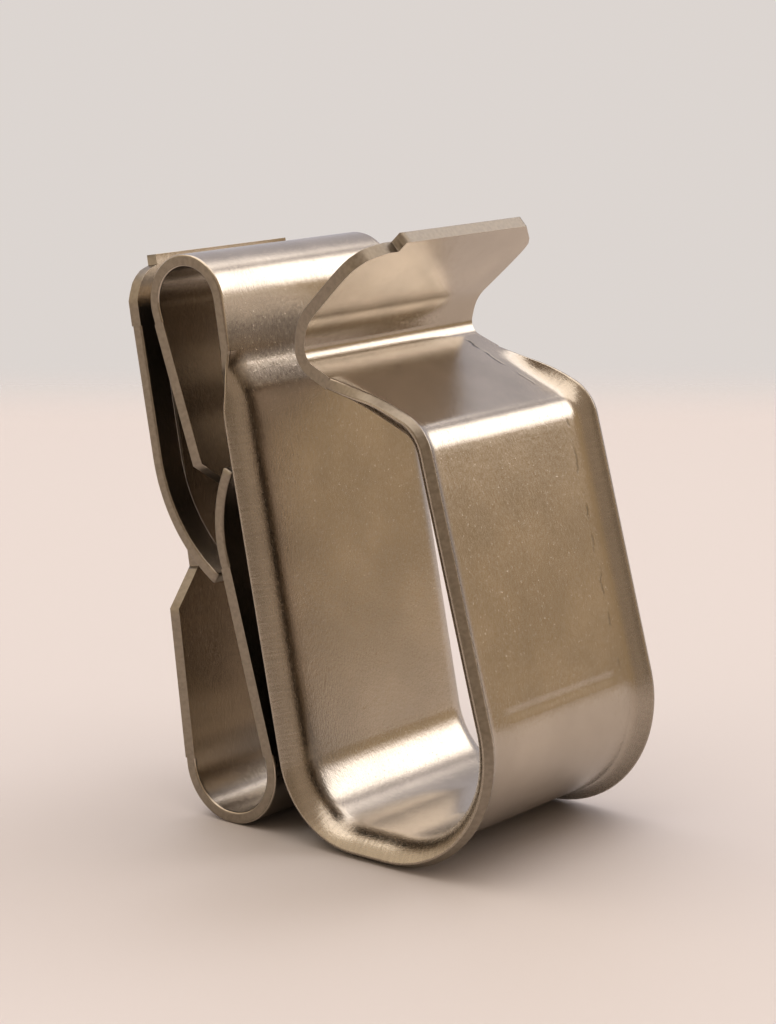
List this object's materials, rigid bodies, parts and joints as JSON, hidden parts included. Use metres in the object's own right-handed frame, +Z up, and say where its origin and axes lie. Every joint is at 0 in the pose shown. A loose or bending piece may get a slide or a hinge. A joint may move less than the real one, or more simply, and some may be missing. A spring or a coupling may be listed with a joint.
{
  "type": "cable clip for a frame flange",
  "caption": "Spring clip bent from one stainless strip: an open cradle with flared edges holds cables, and a barbed slot beside it bites on the flange of an equipment frame.",
  "frame": {"origin": "centre of the bounding box in plan, on the floor that the clip stands on", "axes": "+X from the frame plate to the cable jaw, +Y across the strip and along the cables, +Z up"},
  "size_m": [0.0188, 0.0116, 0.0243],
  "materials": {
    "steel": "satin"
  },
  "bodies": {
    "cradle_back": {"back_wall": "steel", "cradle_bend": "steel", "top_loop": "steel"},
    "jaw": {"cable_lip": "steel", "cradle_top": "steel", "front_wall": "steel"},
    "hook": {"loop_leg": "steel", "spring_leg": "steel", "ear_near": "steel", "ear_far": "steel", "lower_bend": "steel"},
    "plate": {"frame_plate": "steel"},
    "near_barb": {"barb_near": "steel"},
    "far_barb": {"barb_far": "steel"}
  },
  "joints": [
    {"name": "jaw_flex", "type": "hinge", "parent": "cradle_back", "child": "jaw", "pos_m": [0.00911, 0, 0.00661], "axis": [0, 1, 0], "range_deg": [0, 13], "stiffness_Nm_per_rad": 1.2},
    {"name": "hook_flex", "type": "hinge", "parent": "cradle_back", "child": "hook", "pos_m": [-0.00768, 0, 0.02002], "axis": [0, 1, 0], "range_deg": [0, 6], "stiffness_Nm_per_rad": 1},
    {"name": "plate_flex", "type": "hinge", "parent": "hook", "child": "plate", "pos_m": [-0.00634, 0, 0.00231], "axis": [0, -1, 0], "range_deg": [0, 8], "stiffness_Nm_per_rad": 1},
    {"name": "barb_near_flex", "type": "hinge", "parent": "plate", "child": "near_barb", "pos_m": [-0.00891, -0.00478, 0.01986], "axis": [0, 1, 0], "range_deg": [0, 9], "stiffness_Nm_per_rad": 0.25},
    {"name": "barb_far_flex", "type": "hinge", "parent": "plate", "child": "far_barb", "pos_m": [-0.00891, 0.00478, 0.01986], "axis": [0, 1, 0], "range_deg": [0, 9], "stiffness_Nm_per_rad": 0.25}
  ]
}
